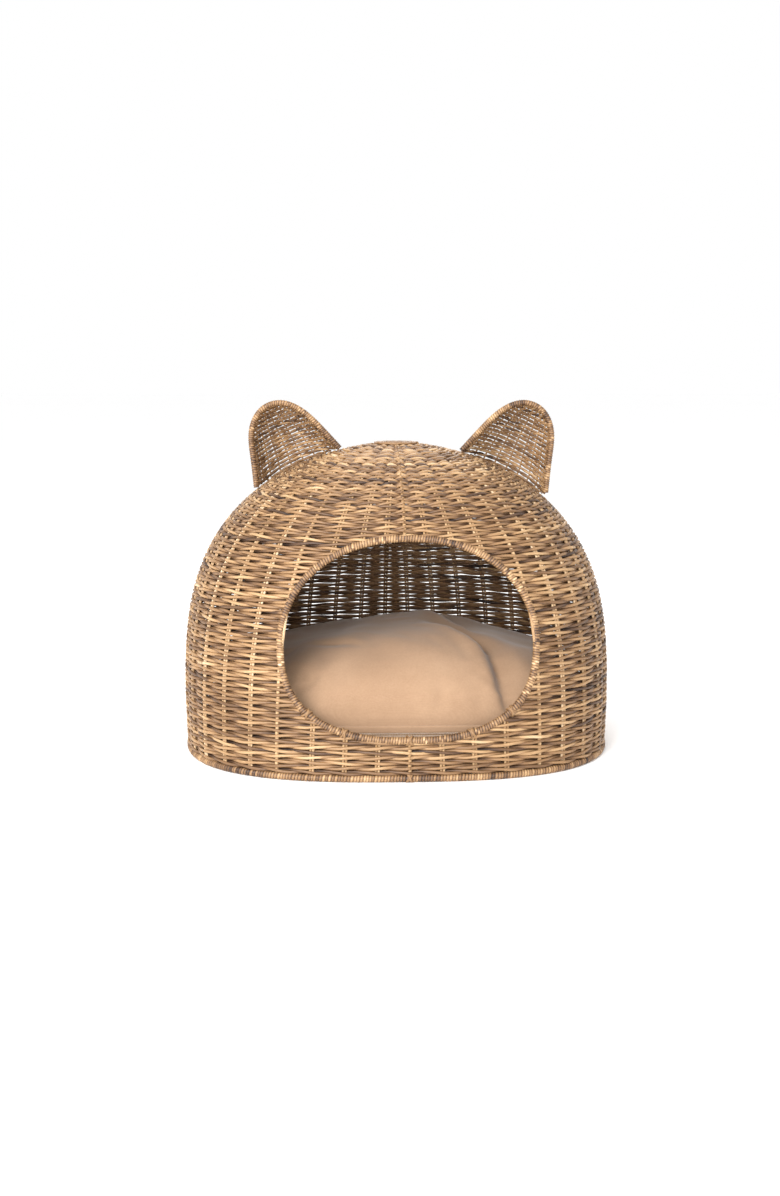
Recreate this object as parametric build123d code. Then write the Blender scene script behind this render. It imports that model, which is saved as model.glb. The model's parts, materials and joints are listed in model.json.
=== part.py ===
from build123d import *
import os
from math import atan2, cos, hypot, pi, sin

# Cat-ear pet basket, hand woven from rattan, with a zipped cushion.
# Millimetres. +Z up, the doorway faces -Y, the origin is under the middle of the base.

# Woven body: a rounded footprint that swells a little and closes in a flat crown
BASE_HALF_WIDTH = 270.0
BASE_HALF_DEPTH = 225.0
HEIGHT = 385.0
CORNER_AT_BASE = 2.7        # superellipse power of the footprint; 2 would be an ellipse
CORNER_AT_CROWN = 2.2
PROFILE_RISE = 3.5          # the higher, the longer the wall stays upright
PROFILE_ROUND = 1.82        # the higher, the squarer the shoulder
SWELL = 0.027               # how much wider the body is at SWELL_HEIGHT than at the base
SWELL_HEIGHT = 340.0
CENTRE = 8.0                # the doorway and ears sit this far right of the middle

# Wall: a skin of strands outside the stakes, the stakes, a skin of strands inside them
STRAND = 2.6
STAKE = 3.2
STAKE_LAYER = 4.4
WALL = 2 * STRAND + STAKE_LAYER
STAKE_COUNT = 42
STAKE_PAIR_SPACING = 3.5
POST = 4.2                  # the single rods beside, under and over the doorway
CROWN_RADIUS = 26.0
STAKE_END_GAP = 6.0         # from the crown button to the ends of the stakes that reach it
SHORT_STAKE_REACH = 0.36    # every second pair stops where the body is this wide

# Base
RING_ROD = 5.5
RING_BOUND = 8.5
FLOOR_STRAND = 1.5
FLOOR_STICK = 4.6
FLOOR_STICK_COUNT = 11
FLOOR_STICK_PITCH = 44.0
WALL_START = RING_BOUND + 0.3

# Doorway: an oval, flatter below than above
DOOR_HALF_WIDTH = 145.0
DOOR_MIDDLE = 157.0
DOOR_RISE = 119.0
DOOR_DROP = 103.0
DOOR_ROUND_ABOVE = 2.15
DOOR_ROUND_BELOW = 2.45
HOOP_ROD = 5.6
HOOP_BOUND = 9.0
LASHING = 1.4
LASHING_GAP = 0.35          # room for the bend of the rod inside a tie
DOOR_STAKES = 3             # stake pairs each side of the middle that the doorway interrupts

# Ears: scoops whose bound rims stand on the crest of the body; distances from CENTRE
EAR_FOOT_OUTER = (186.0, 318.0)
EAR_SIDE = (193.5, 397.0)
EAR_TIP = (160.0, 433.3)
EAR_SLOPE = (120.0, 418.5)
EAR_FOOT_INNER = (75.0, 374.0)
EAR_ROOT_OUTER = (176.0, 250.0)
EAR_ROOT_INNER = (75.0, 300.0)
EAR_CENTRE = (132.0, 318.0)
EAR_DEPTH = 62.0
EAR_WEAVE = 4.0
EAR_ROD = 4.6
EAR_BOUND = 7.4
EAR_LAYERS = 5

# Cushion: a rounded box cushion with a crowned top and a zip along its front
CUSHION_HALF_WIDTH = 235.0
CUSHION_HALF_DEPTH = 180.0
CUSHION_CORNER = 110.0
CUSHION_BOTTOM = RING_BOUND + 0.5
CUSHION_BAND_TOP = 88.0
CUSHION_TOP = 150.0
COVER = 1.6
LINER = 0.8
FILLING_GAP = 0.4

# Zip, in the middle of the cushion's front band
ZIP_HEIGHT = 46.0
ZIP_LENGTH = 236.0
ZIP_SLOT = 15.0
TAPE_WIDTH = 13.0
TAPE = 0.7
COIL_WIDTH = 2.2
COIL = 2.0
COIL_GAP = 1.6
SLIDER_LENGTH = 13.0
SLIDER_WIDTH = 11.0
SLIDER_PLATE = 1.3
SLIDER_CLEARANCE = 0.4
SLIDER_REST = -106.0
PULL_LENGTH = 17.0
PULL_WIDTH = 6.4
PULL = 1.2
PULL_WINDOW = 3.2
BAIL = 0.9
BAIL_WIDTH = 2.0

SECTION_POINTS = 24
SECTION_COUNT = 12
STEP = 0.5


def signed_power(value, power):
    return abs(value) ** power * (1 if value >= 0 else -1)


def girth(z):
    """Half-width of the body at height z, as a part of its half-width at the base."""
    z = min(max(z, 0.0), HEIGHT)
    swell = (1 - SWELL * (1 - z / SWELL_HEIGHT) ** 2) / (1 - SWELL)
    return (1 - (z / HEIGHT) ** PROFILE_RISE) ** (1 / PROFILE_ROUND) * swell


def corner_power(z):
    return CORNER_AT_BASE + (CORNER_AT_CROWN - CORNER_AT_BASE) * max(z, 0.0) / HEIGHT


def lean(z):
    """Angle of the wall from upright at height z."""
    low, high = max(z - STEP, 0.0), min(z + STEP, HEIGHT - 0.05)
    mean_half = (BASE_HALF_WIDTH + BASE_HALF_DEPTH) / 2
    return atan2(mean_half * (girth(low) - girth(high)), high - low)


def wall_point(turn, z, inset):
    """Point at the angle turn and height z, set in from the outside, square to the wall."""
    slope = lean(z)
    power = 2 / corner_power(z)
    half_width = BASE_HALF_WIDTH * girth(z) - inset * cos(slope)
    half_depth = BASE_HALF_DEPTH * girth(z) - inset * cos(slope)
    return Vector(
        half_width * signed_power(cos(turn), power),
        half_depth * signed_power(sin(turn), power),
        z - inset * sin(slope),
    )


def front_wall_y(x, z, inset):
    """Y of the front wall at x and z, set in from the outside, square to the wall."""
    level_inset = inset / cos(lean(z))
    half_width = BASE_HALF_WIDTH * girth(z) - level_inset
    half_depth = BASE_HALF_DEPTH * girth(z) - level_inset
    power = corner_power(z)
    return -half_depth * (1 - abs(x / half_width) ** power) ** (1 / power)


def closed_spline(points):
    return Wire([Edge.make_spline(points, periodic=True)])


def body_section(z, inset):
    turns = [2 * pi * i / SECTION_POINTS for i in range(SECTION_POINTS)]
    return closed_spline([wall_point(turn, z, inset) for turn in turns])


def crown_height():
    """Height at which the body is only as wide as the crown."""
    z = HEIGHT - 0.02
    while BASE_HALF_WIDTH * girth(z) < CROWN_RADIUS - 2:
        z -= 0.02
    return z


def body_solid(inset):
    """The closed body, set in on all sides; its foot is left square and is trimmed later."""
    top = crown_height()
    heights = [top * sin(pi / 2 * i / SECTION_COUNT) for i in range(SECTION_COUNT + 1)]
    return Solid.make_loft([body_section(z, inset) for z in heights])


def door_point(turn, grow):
    """Point of the doorway's outline, seen from the front, grown by some millimetres."""
    upper = sin(turn) >= 0
    power = 2 / (DOOR_ROUND_ABOVE if upper else DOOR_ROUND_BELOW)
    height = (DOOR_RISE if upper else DOOR_DROP) + grow
    x = CENTRE + (DOOR_HALF_WIDTH + grow) * signed_power(cos(turn), power)
    return x, DOOR_MIDDLE + height * signed_power(sin(turn), power)


def door_cutter(grow):
    turns = [2 * pi * i / SECTION_POINTS for i in range(SECTION_POINTS)]
    outline = [door_point(turn, grow) for turn in turns]
    face = Face(closed_spline([Vector(x, -BASE_HALF_DEPTH - 40, z) for x, z in outline]))
    return Solid.extrude(face, Vector(0, BASE_HALF_DEPTH, 0))


def tube(path, diameter):
    profile = Plane(origin=path @ 0, z_dir=path % 0) * Circle(diameter / 2)
    return sweep(profile, path=path).solid()


def sleeve(path, inner_diameter, outer_diameter):
    return (tube(path, outer_diameter) - tube(path, inner_diameter)).solid()


def bound_ring(points, rod_diameter, bound_diameter):
    """A closed flat ring of rod, and the strip cane wound round it as one closed sleeve."""
    path = closed_spline(points)
    return tube(path, rod_diameter), sleeve(path, rod_diameter, bound_diameter)


def bound_hoop(points, rod_diameter, bound_diameter):
    """A closed rod that is bent out of flat, in two halves, and the sleeves wound round them."""
    loop = Edge.make_spline(points, periodic=True)
    halves = [loop.trim(0, 0.5), loop.trim(0.5, 1)]
    rod = Compound([tube(half, rod_diameter) for half in halves])
    return rod, Compound([sleeve(half, rod_diameter, bound_diameter) for half in halves])


def space_block(z_low, z_high):
    return Box(900, 900, z_high - z_low, align=(Align.CENTER, Align.CENTER, Align.MIN)).moved(
        Location((0, 0, z_low))
    )


def wall_skin(outer, inner, door):
    """One skin of strands, from the base ring to the crown, with the doorway cut through."""
    crown_hole = Cylinder(CROWN_RADIUS, 60).moved(Location((0, 0, HEIGHT)))
    skin = outer - inner - crown_hole - door
    return (skin & space_block(WALL_START, HEIGHT + 10)).solid()


def stake_turns():
    """Angles of the stakes: evenly spaced along the base, from the middle of the doorway."""
    samples = 4000
    points = [wall_point(2 * pi * i / samples - pi / 2, 0, 0) for i in range(samples + 1)]
    lengths = [0.0]
    for before, after in zip(points, points[1:]):
        lengths.append(lengths[-1] + (after - before).length)
    start = next(lengths[i] for i in range(samples) if points[i].X >= CENTRE)
    turns = []
    for number in range(STAKE_COUNT):
        goal = (start + lengths[-1] * number / STAKE_COUNT) % lengths[-1]
        index = next(i for i in range(samples) if lengths[i + 1] > goal)
        turns.append(2 * pi * index / samples - pi / 2)
    return turns


def stake_top(number):
    """Even stakes run almost to the crown button, odd ones stop where the body narrows."""
    z = crown_height()
    while BASE_HALF_DEPTH * girth(z) < CROWN_RADIUS + STAKE_END_GAP:
        z -= 0.02
    if number % 2:
        while girth(z) < SHORT_STAKE_REACH:
            z -= 0.5
    return z


def stake_path(number, turn, sideways):
    """Line of one cane, sideways of the middle of its pair, in the layer between the skins."""
    bottom, top = WALL_START, stake_top(number)
    inset = STRAND + STAKE_LAYER / 2
    points = []
    for i in range(9):
        z = bottom + (top - bottom) * sin(pi / 2 * i / 8)
        across = (wall_point(turn + 0.01, z, inset) - wall_point(turn - 0.01, z, inset)).normalized()
        points.append(wall_point(turn, z, inset) + across * sideways)
    return Edge.make_spline(points)


def stake_pair(number, turn):
    half = STAKE_PAIR_SPACING / 2
    return [tube(stake_path(number, turn, side), STAKE) for side in (-half, half)]


def base_pieces():
    inset = RING_BOUND / 2
    points = [
        wall_point(2 * pi * i / SECTION_POINTS, 0, inset) for i in range(SECTION_POINTS)
    ]
    line = [Vector(p.X, p.Y, inset) for p in points]
    ring, binding = bound_ring(line, RING_ROD, RING_BOUND)

    section = body_section(0, RING_BOUND + 0.3)
    sheet = Face(section.moved(Location((0, 0, -section.bounding_box().min.Z))))
    lower = Solid.extrude(sheet, Vector(0, 0, FLOOR_STRAND))
    lift = FLOOR_STRAND + FLOOR_STICK + 0.2
    weave = [lower, lower.moved(Location((0, 0, lift)))]

    sticks = []
    for i in range(FLOOR_STICK_COUNT):
        x = (i - (FLOOR_STICK_COUNT - 1) / 2) * FLOOR_STICK_PITCH
        half_length = -front_wall_y(x, 0, RING_BOUND + 0.6)
        stick = Solid.make_cylinder(
            FLOOR_STICK / 2,
            2 * half_length,
            Plane((x, -half_length, FLOOR_STRAND + 0.1 + FLOOR_STICK / 2), z_dir=(0, 1, 0)),
        )
        sticks.append(stick)
    return {
        "base_ring": ring,
        "base_ring_binding": binding,
        "floor_weave": Compound(weave),
        "floor_sticks": Compound(sticks),
    }


def door_line():
    """Points along the hoop, half way through the wall and just outside the doorway."""
    points = []
    for i in range(SECTION_POINTS):
        x, z = door_point(2 * pi * i / SECTION_POINTS, HOOP_BOUND / 2)
        points.append(Vector(x, front_wall_y(x, z, WALL / 2), z))
    return points


def lashing(point, direction, inner_diameter, width):
    """A tie of strip cane round a bound rod: a short sleeve, and the room it needs."""
    plane = Plane(origin=point - direction * (width / 2), z_dir=direction)
    outside = Solid.make_cylinder(inner_diameter / 2 + LASHING, width, plane)
    tie = outside - Solid.make_cylinder(inner_diameter / 2 + LASHING_GAP, width, plane)
    plane = Plane(origin=point - direction * (width / 2 + 0.2), z_dir=direction)
    room = Solid.make_cylinder(inner_diameter / 2 + LASHING + 0.2, width + 0.4, plane)
    return tie.solid(), room


def hoop_lashing(turn):
    """A tie round the hoop, where stakes meet it."""
    x, z = door_point(turn, HOOP_BOUND / 2)
    ahead_x, ahead_z = door_point(turn + 0.02, HOOP_BOUND / 2)
    here = Vector(x, front_wall_y(x, z, WALL / 2), z)
    ahead = Vector(ahead_x, front_wall_y(ahead_x, ahead_z, WALL / 2), ahead_z)
    return lashing(here, (ahead - here).normalized(), HOOP_BOUND, 9)


def base_lashing():
    """The tie over the outside of the base ring under the front post, flat above and below."""
    inset = RING_BOUND / 2
    foot = Vector(CENTRE, front_wall_y(CENTRE, 0, inset), inset)
    tie, _ = lashing(foot, Vector(1, 0, 0), RING_BOUND, 10)
    halves = (tie & space_block(0.05, WALL_START - 0.15)).solids()
    return min(halves, key=lambda half: half.center().Y)


def ear_spot(spot, y):
    return Vector(CENTRE + spot[0], y, spot[1])


def ear_rim_path():
    """The rim in its own plane: up the outer side, round the tip and down the slope."""
    spots = [EAR_FOOT_OUTER, EAR_SIDE, EAR_TIP, EAR_SLOPE, EAR_FOOT_INNER]
    return Edge.make_spline([ear_spot(spot, 0) for spot in spots])


def ear_layer(share, inset):
    """Outline of the scoop at a share of its depth; it shrinks towards the root."""
    shrink = (1 - share ** 2) ** 0.5
    reach = EAR_DEPTH - inset

    def spot(point):
        x = EAR_CENTRE[0] + (point[0] - EAR_CENTRE[0]) * shrink
        z = EAR_CENTRE[1] + (point[1] - EAR_CENTRE[1]) * shrink
        away = hypot(x - EAR_CENTRE[0], z - EAR_CENTRE[1])
        pull = 1 - inset / away
        x = EAR_CENTRE[0] + (x - EAR_CENTRE[0]) * pull
        z = EAR_CENTRE[1] + (z - EAR_CENTRE[1]) * pull
        return ear_spot((x, z), reach * share)

    arch = [EAR_FOOT_OUTER, EAR_SIDE, EAR_TIP, EAR_SLOPE, EAR_FOOT_INNER]
    points = [spot(point) for point in arch]
    curve = Edge.make_spline(points)
    roots = [spot(EAR_ROOT_INNER), spot(EAR_ROOT_OUTER)]
    sides = [
        Edge.make_line(points[-1], roots[0]),
        Edge.make_line(roots[0], roots[1]),
        Edge.make_line(roots[1], points[0]),
    ]
    return Wire([curve] + sides)


def ear_scoop(inset):
    shares = [0.95 * sin(pi / 2 * i / EAR_LAYERS) for i in range(EAR_LAYERS + 1)]
    return Solid.make_loft([ear_layer(share, inset) for share in shares])


def ear_pieces(body):
    """Both ears, trimmed to the body: rim rod, its binding and the woven scoop behind them."""
    path = ear_rim_path()
    clear = Box(900, EAR_BOUND / 2 + 0.2, 900, align=(Align.CENTER, Align.MIN, Align.CENTER))
    parts = {
        "rim": tube(path, EAR_ROD),
        "binding": sleeve(path, EAR_ROD, EAR_BOUND),
        "weave": (ear_scoop(0) - ear_scoop(EAR_WEAVE) - clear.moved(Location((0, -0.1, 0)))).solid(),
    }
    pieces = {}
    for name, right in parts.items():
        left = right.mirror(Plane.YZ.offset(CENTRE))
        for side, whole in (("right", right), ("left", left)):
            pieces[f"{side}_ear_{name}"] = max((whole - body).solids(), key=lambda item: item.volume)
    return pieces


def pillow(inset):
    """The cushion's closed form: flat below, upright band, crowned top."""
    band = CUSHION_BAND_TOP - CUSHION_BOTTOM
    rise = CUSHION_TOP - CUSHION_BAND_TOP
    low = CUSHION_BOTTOM + inset
    levels = [
        (low, 12.0),
        (low + 8, 2.0),
        (low + 18, 0.0),
        (CUSHION_BOTTOM + band * 0.8, 0.0),
        (CUSHION_BAND_TOP + 0.1 * rise, 10.0),
        (CUSHION_BAND_TOP + 0.45 * rise, 38.0),
        (CUSHION_BAND_TOP + 0.8 * rise, 85.0),
        (CUSHION_TOP - inset, 145.0),
    ]
    wires = []
    for z, narrower in levels:
        trim = narrower + inset
        outline = RectangleRounded(
            2 * (CUSHION_HALF_WIDTH - trim),
            2 * (CUSHION_HALF_DEPTH - trim),
            max(CUSHION_CORNER - trim * 0.55, 12),
        )
        wires.append(outline.face().outer_wire().moved(Location((0, 0, z))))
    return Solid.make_loft(wires, ruled=True)


def block(x, y, z, length, depth, height):
    """A box from its middle and its sizes along X, Y and Z."""
    return Box(length, depth, height).moved(Location((x, y, z))).solid()


def cushion_pieces():
    outside = pillow(0)
    front = -CUSHION_HALF_DEPTH
    slot = block(0, front, ZIP_HEIGHT, ZIP_LENGTH, 3 * COVER, ZIP_SLOT)
    cover = outside - pillow(COVER) - slot
    liner = pillow(COVER + 0.3) - pillow(COVER + 0.3 + LINER)
    filling = pillow(COVER + 0.3 + LINER + FILLING_GAP)
    dent = block(0, front, ZIP_HEIGHT, ZIP_LENGTH, 2 * (COVER + 0.3 + LINER + 1.2), ZIP_SLOT)
    return {
        "cushion_cover": cover.solid(),
        "cushion_liner": liner.solid(),
        "cushion_filling": (filling - dent).solid(),
    }


def zip_pieces():
    """Two tapes with their coils, end stops, and the slider with its pull."""
    face = -CUSHION_HALF_DEPTH
    pieces = {}
    coil_offset = COIL_GAP / 2 + COIL_WIDTH / 2
    tape_offset = COIL_GAP / 2 + 0.4 + TAPE_WIDTH / 2
    for name, side in (("upper", 1), ("lower", -1)):
        z = ZIP_HEIGHT + side * tape_offset
        pieces["zip_tape_" + name] = block(0, face - TAPE / 2, z, ZIP_LENGTH + 8, TAPE, TAPE_WIDTH)
        z = ZIP_HEIGHT + side * coil_offset
        pieces["zip_coil_" + name] = block(0, face - TAPE - COIL / 2, z, ZIP_LENGTH, COIL, COIL_WIDTH)
    stops = [
        block(side * (ZIP_LENGTH / 2 - 2), face - TAPE - COIL - 0.6, ZIP_HEIGHT, 3, 1.2, 6)
        for side in (-1, 1)
    ]
    pieces["zip_end_stops"] = Compound(stops)
    return pieces


def slider_front():
    """Y of the outer face of the slider's front plate."""
    return -CUSHION_HALF_DEPTH - TAPE - COIL - SLIDER_CLEARANCE - SLIDER_PLATE


def pull_axis_y():
    return slider_front() - PULL / 2 - 0.5


def zip_slider():
    """Front plate over the coils, a rear keel between them and a bail for the pull."""
    front = slider_front()
    plate = block(
        SLIDER_REST, front + SLIDER_PLATE / 2, ZIP_HEIGHT, SLIDER_LENGTH, SLIDER_PLATE, SLIDER_WIDTH
    )
    plate = fillet(plate.edges().filter_by(Axis.Y), 2.5).solid()
    keel_depth = SLIDER_CLEARANCE + COIL * 0.7
    keel = block(
        SLIDER_REST, front + SLIDER_PLATE + keel_depth / 2, ZIP_HEIGHT, 5, keel_depth, COIL_GAP - 0.6
    )
    standoff = PULL + 1.0
    leg_spot = 2.9
    top = block(
        SLIDER_REST, front - standoff - BAIL / 2, ZIP_HEIGHT, BAIL_WIDTH, BAIL, 2 * leg_spot + BAIL
    )
    legs = [
        block(SLIDER_REST, front - standoff / 2, ZIP_HEIGHT + side * leg_spot, BAIL_WIDTH, standoff, BAIL)
        for side in (-1, 1)
    ]
    return (plate + keel + top + legs[0] + legs[1]).solid()


def zip_pull():
    """A flat tab with a round upper edge and a window; the bail passes through the window."""
    axis_y = pull_axis_y()
    tab = block(SLIDER_REST, axis_y, ZIP_HEIGHT - PULL_LENGTH / 2, PULL_WIDTH, PULL, PULL_LENGTH)
    edge_plane = Plane((SLIDER_REST - PULL_WIDTH / 2, axis_y, ZIP_HEIGHT), z_dir=(1, 0, 0))
    edge = Solid.make_cylinder(PULL / 2, PULL_WIDTH, edge_plane)
    window_height = 4.4
    window = block(
        SLIDER_REST, axis_y, ZIP_HEIGHT - PULL / 2 - window_height / 2, PULL_WINDOW, 3, window_height
    )
    low_corners = tab.edges().filter_by(Axis.Y).group_by(Axis.Z)[0]
    return (fillet(low_corners, 2.4) + edge - window).solid()


def front_stakes(turns, door):
    """The single rods about the doorway, and the short pairs under and over it."""
    def split(cane):
        return sorted((cane - door).solids(), key=lambda solid: solid.center().Z)

    post, rib = split(tube(stake_path(0, turns[0], 0), POST))
    below, above = [], []
    for number in [n for n in range(-DOOR_STAKES, DOOR_STAKES + 1) if n]:
        for cane in stake_pair(number, turns[number]):
            parts = split(cane)
            below.append(parts[0])
            above.append(parts[-1])
    side = DOOR_STAKES + 1
    return {
        "front_post": post,
        "top_rib": rib,
        "side_post_right": Compound(split(tube(stake_path(side, turns[side], 0), POST))),
        "side_post_left": Compound(split(tube(stake_path(side, turns[-side], 0), POST))),
        "stakes_below_door": Compound(below),
        "stakes_above_door": Compound(above),
    }


def dome_stakes(turns):
    """The whole pairs, two pairs to a node."""
    numbers = range(DOOR_STAKES + 2, STAKE_COUNT - DOOR_STAKES - 1)
    pieces = {}
    for group, first in enumerate(numbers[::2]):
        canes = []
        for number in range(first, min(first + 2, numbers[-1] + 1)):
            canes += stake_pair(number, turns[number])
        pieces[f"dome_stakes_{group + 1:02d}"] = Compound(canes)
    return pieces


def model():
    body = body_solid(0)
    ties = [hoop_lashing(turn) for turn in (-pi / 2, -pi * 0.2, -pi * 0.8)]
    door = door_cutter(HOOP_BOUND + 0.4)
    for _, room in ties:
        door = door + room
    turns = stake_turns()
    pieces = base_pieces()
    pieces.update(front_stakes(turns, door))
    pieces.update(dome_stakes(turns))
    pieces["sill_lashing"] = ties[0][0]
    pieces["door_side_lashings"] = Compound([tie for tie, _ in ties[1:]])
    pieces["base_lashing"] = base_lashing()

    hoop, hoop_binding = bound_hoop(door_line(), HOOP_ROD, HOOP_BOUND)
    pieces["doorway_hoop"] = hoop
    pieces["doorway_binding"] = hoop_binding

    outer = wall_skin(body, body_solid(STRAND), door)
    inner = wall_skin(body_solid(WALL - STRAND), body_solid(WALL), door)
    pieces["dome_weave_outer"] = outer
    pieces["dome_weave_inner"] = inner
    pieces["crown_button"] = Cylinder(
        CROWN_RADIUS - 0.3, WALL, align=(Align.CENTER, Align.CENTER, Align.MAX)
    ).moved(Location((0, 0, HEIGHT))).solid()

    pieces.update(ear_pieces(body))
    pieces.update(cushion_pieces())
    pieces.update(zip_pieces())
    pieces["zip_slider"] = zip_slider()
    pieces["zip_pull"] = zip_pull()
    return pieces


os.makedirs("parts", exist_ok=True)
for name, piece in model().items():
    export_step(piece, f"parts/{name}.step")
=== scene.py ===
import json
import math

import bmesh
import bpy
import numpy as np
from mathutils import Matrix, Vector


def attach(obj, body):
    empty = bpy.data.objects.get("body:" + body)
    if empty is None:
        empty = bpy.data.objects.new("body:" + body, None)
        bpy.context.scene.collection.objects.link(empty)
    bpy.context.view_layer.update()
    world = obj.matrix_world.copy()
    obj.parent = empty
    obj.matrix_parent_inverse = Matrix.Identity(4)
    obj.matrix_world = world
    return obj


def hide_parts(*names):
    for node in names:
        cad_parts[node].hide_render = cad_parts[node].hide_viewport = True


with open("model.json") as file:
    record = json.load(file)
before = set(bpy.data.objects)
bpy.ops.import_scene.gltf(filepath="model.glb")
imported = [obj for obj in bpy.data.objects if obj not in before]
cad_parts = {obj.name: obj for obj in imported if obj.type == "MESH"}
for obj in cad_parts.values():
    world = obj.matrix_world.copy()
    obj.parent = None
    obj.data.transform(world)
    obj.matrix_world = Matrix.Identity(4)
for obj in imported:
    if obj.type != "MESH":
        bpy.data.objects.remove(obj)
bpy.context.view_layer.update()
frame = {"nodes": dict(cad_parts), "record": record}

# Woven cat-ear basket with a zipped cushion. Metres, in the CAD frame: +Z up, doorway at -Y.

MM = 0.001

# Body: the same shape as the CAD skins
BASE_HALF_WIDTH = 270 * MM
BASE_HALF_DEPTH = 225 * MM
HEIGHT = 385 * MM
CORNER_AT_BASE = 2.7
CORNER_AT_CROWN = 2.2
PROFILE_RISE = 3.5
PROFILE_ROUND = 1.82
SWELL = 0.027
SWELL_HEIGHT = 340 * MM
CENTRE = 8 * MM
WALL = 9.6 * MM
STAKE_COUNT = 42
SHORT_STAKE_REACH = 0.36
CROWN_RADIUS = 26 * MM
RING_BOUND = 8.5 * MM

# Doorway
DOOR_HALF_WIDTH = 145 * MM
DOOR_MIDDLE = 157 * MM
DOOR_RISE = 119 * MM
DOOR_DROP = 103 * MM
DOOR_ROUND_ABOVE = 2.15
DOOR_ROUND_BELOW = 2.45
HOOP_BOUND = 9 * MM
DOOR_TIES = [(-118, 82), (118, 82), (-75, 60), (72, 60)]    # millimetres from CENTRE, and up

# Body weave: two strands twist about every stake pair, row above row
ROW_PITCH = 6.05 * MM
STRAND = 3.9 * MM
STRAND_CROSSING = 1.15 * MM   # how far above and below the row the strands pass each other
STRAND_FLAT = 0.8             # canes press a little flat where they pass the stakes
STRAND_SWING = 2.3 * MM       # how far a strand runs outside or inside the stakes
STEPS_PER_STAKE = 8
PAINTED_SHADE_INWARD = 0.50            # painted shade: how much darker a strand is painted the deeper it runs into the wall, darkest behind the stakes
MEAN_TINT = 0.56              # shade of a cane of middling colour, from 0 (dark) to 1 (light)
STAKE_TINT = 0.74
STRAND_SIDES = 6
STOREYS = 3                   # the weave is cut into this many levels, each of SECTORS meshes
SECTORS = 6
STAKE = 2.9 * MM
STAKE_PAIR_SPACING = 3.3 * MM
POST = 4.6 * MM
DOOR_STAKES = 3               # stake pairs each side of the middle that the doorway cuts

# Ears: distances from CENTRE, as (sideways, up)
EAR_RIM = [    # millimetres: from the outer foot, up and over the tip, down to the inner foot
    (185.5, 318), (190, 365), (190.5, 402), (176, 426), (155, 433), (133, 426.5), (104, 402), (75.5, 371),
]
EAR_ARCH = 13 * MM            # how much higher a row is at the back of the scoop than at the rim
EAR_DEPTH = 58 * MM
EAR_ROW_PITCH = 5.7 * MM
EAR_STRAND = 2.8 * MM
EAR_STAKE = 2.6 * MM
EAR_STAKES = 10
EAR_BOUND = 7.4 * MM
EAR_ROD = 4.0 * MM            # the rim rod inside its winding

# Cushion: a stuffed box cushion, crowned, with a hump and a fold
CUSHION_HALF_WIDTH = 235 * MM
CUSHION_HALF_DEPTH = 180 * MM
CUSHION_BOTTOM = 9 * MM
CUSHION_SEAM = 86 * MM
CUSHION_TOP = 145 * MM
CUSHION_CORNER = 3.1
FOLDS = [    # lines seen from above, in millimetres, and how deep the cloth sinks behind each
    ([(22, 10), (58, -22), (92, -64), (114, -108), (124, -160)], 21 * MM),
    ([(34, 84), (54, 56), (72, 30), (84, 8)], 9 * MM),
]
BUMPS = [    # how far the top rises, the middle in X and Y, and the reach in X and Y
    (13 * MM, 0.026, 0.055, 0.062, 0.10),
    (9 * MM, -0.02, -0.11, 0.12, 0.06),
    (-12 * MM, -0.14, 0.02, 0.09, 0.12),
    (-9 * MM, 0.15, 0.02, 0.06, 0.11),
]
SWELL_LIMIT = 12 * MM         # the furthest that the inner pressure may move a point of the cover

# Zip on the cushion's front band
ZIP_HEIGHT = 46 * MM
ZIP_LENGTH = 236 * MM
ZIP_FACE = -180 * MM
TAPE_SHOWN = 2.6 * MM
COIL_PITCH = 1.9 * MM
WELT_WIDTH = 9 * MM

FLOOR_STICK = 4.6 * MM
FLOOR_STICK_COUNT = 11
FLOOR_STICK_PITCH = 44 * MM
FLOOR_STICK_MIDDLE = 3.9 * MM
FLOOR_STRAND = 2.2 * MM
FLOOR_ROW_PITCH = 5.6 * MM

# Strip cane wound round the rods: its thickness, and how far apart its turns lie
BASE_WINDING = (1.3 * MM, 3.6 * MM)
HOOP_WINDING = (1.35 * MM, 3.1 * MM)
EAR_WINDING = (1.2 * MM, 2.9 * MM)

# Lights: name, place, size in metres and power in watts
LIGHTS = [
    ("key", (-1.05, -2.0, 1.5), 1.2, 62),
    ("front", (-0.4, -2.6, 0.5), 1.4, 34),
    ("back", (0.3, 2.0, 1.7), 1.5, 24),
]
LIT_POINT = (0, 0, 0.15)

# Camera: where it looks, and from where
CAMERA_TARGET = (-0.0072, 0.0, 0.1814)
CAMERA_AZIMUTH = math.radians(-2.0)
CAMERA_ELEVATION = math.radians(9.17)
CAMERA_DISTANCE = 1.801
CAMERA_LENS = 41.7            # millimetres, on a sensor 36 mm wide
CAMERA_SENSOR = 36


# ---------------------------------------------------------------- shape of the body

def signed_power(value, power):
    return np.sign(value) * np.abs(value) ** power


def girth(z):
    z = np.clip(z, 0, HEIGHT)
    swell = (1 - SWELL * (1 - z / SWELL_HEIGHT) ** 2) / (1 - SWELL)
    return (1 - (z / HEIGHT) ** PROFILE_RISE) ** (1 / PROFILE_ROUND) * swell


def corner_power(z):
    return CORNER_AT_BASE + (CORNER_AT_CROWN - CORNER_AT_BASE) * np.clip(z, 0, None) / HEIGHT


def lean(z):
    step = 0.5 * MM
    low = np.maximum(z - step, 0)
    high = np.minimum(z + step, HEIGHT - 0.05 * MM)
    mean_half = (BASE_HALF_WIDTH + BASE_HALF_DEPTH) / 2
    return np.arctan2(mean_half * (girth(low) - girth(high)), high - low)


def wall_points(turn, z, inset):
    """Points at the angles turn and heights z, set in from the outside, square to the wall."""
    slope = lean(z)
    power = 2 / corner_power(z)
    x = (BASE_HALF_WIDTH * girth(z) - inset * np.cos(slope)) * signed_power(np.cos(turn), power)
    y = (BASE_HALF_DEPTH * girth(z) - inset * np.cos(slope)) * signed_power(np.sin(turn), power)
    return np.stack([x, y, z - inset * np.sin(slope) + 0 * turn], -1)


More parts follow.
